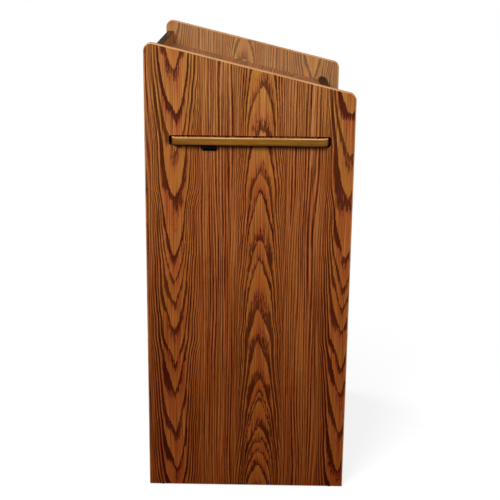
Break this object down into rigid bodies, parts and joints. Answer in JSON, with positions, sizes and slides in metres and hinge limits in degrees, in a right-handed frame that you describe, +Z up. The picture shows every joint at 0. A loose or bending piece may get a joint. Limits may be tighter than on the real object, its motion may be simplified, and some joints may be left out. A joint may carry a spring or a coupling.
{
  "type": "presentation lectern",
  "caption": "Floor-standing wooden lectern with a sloping recessed reading surface, open storage and a pull-out side shelf with a stop latch.",
  "frame": {"origin": "on the floor, under the centre of the lectern's bounding box with the pull-out shelf closed", "axes": "+Z up; -Y towards the audience; +Y towards the speaker; +X the side that the shelf pulls out of"},
  "size_m": [0.692, 0.52, 1.1829],
  "materials": {
    "walnut_laminate": "satin dark walnut grain laminate",
    "edge_moulding": "glossy dark edge moulding",
    "shelf_edge": "glossy lighter oak edge",
    "beech": "plain sanded beech",
    "plated_steel": "zinc plated",
    "die_cast_zinc": "die cast",
    "black_nylon": "moulded",
    "black_gloss_plastic": "glossy",
    "rubber": "matt"
  },
  "bodies": {
    "carcass": {"side_panel_slotted": "walnut_laminate", "side_panel_plain": "walnut_laminate", "front_panel": "walnut_laminate", "reading_surface": "walnut_laminate", "paper_stop": "walnut_laminate", "slide_deck": "walnut_laminate", "rear_rail": "walnut_laminate", "base_panel": "walnut_laminate", "kick_rail": "walnut_laminate", "adjustable_shelf": "walnut_laminate", "side_moulding_slotted": "edge_moulding", "side_moulding_plain": "edge_moulding", "front_top_moulding": "edge_moulding", "deck_edge_moulding": "edge_moulding", "base_edge_moulding": "edge_moulding", "adjustable_shelf_moulding": "edge_moulding", "reading_cleats": "beech", "front_cleat": "beech", "wood_dowels": "beech", "tail_stop": "beech", "cleat_screws": "plated_steel", "paper_stop_screws": "plated_steel", "kick_screws": "plated_steel", "tail_stop_screws": "plated_steel", "guide_screws": "plated_steel", "latch_screws": "plated_steel", "cam_bolts": "plated_steel", "shelf_pins": "plated_steel", "latch_pin": "plated_steel", "latch_spring": "plated_steel", "latch_bracket": "plated_steel", "cam_locks": "die_cast_zinc", "shelf_guide_front": "black_nylon", "shelf_guide_rear": "black_nylon", "floor_glides": "black_nylon", "tail_bumpers": "rubber"},
    "shelf": {"pull_out_shelf": "walnut_laminate", "pull_out_shelf_moulding": "shelf_edge"},
    "latch": {"latch_lever": "black_gloss_plastic"}
  },
  "joints": [
    {"name": "shelf_slide", "type": "slide", "parent": "carcass", "child": "shelf", "axis": [1, 0, 0], "range_m": [0, 0.34]},
    {"name": "latch_hinge", "type": "hinge", "parent": "carcass", "child": "latch", "pos_m": [0.2505, -0.1, 0.924], "axis": [0, 1, 0], "range_deg": [0, 5], "stiffness_Nm_per_rad": 0.5, "springref_deg": -20.05, "deforming": ["latch_spring"]}
  ]
}
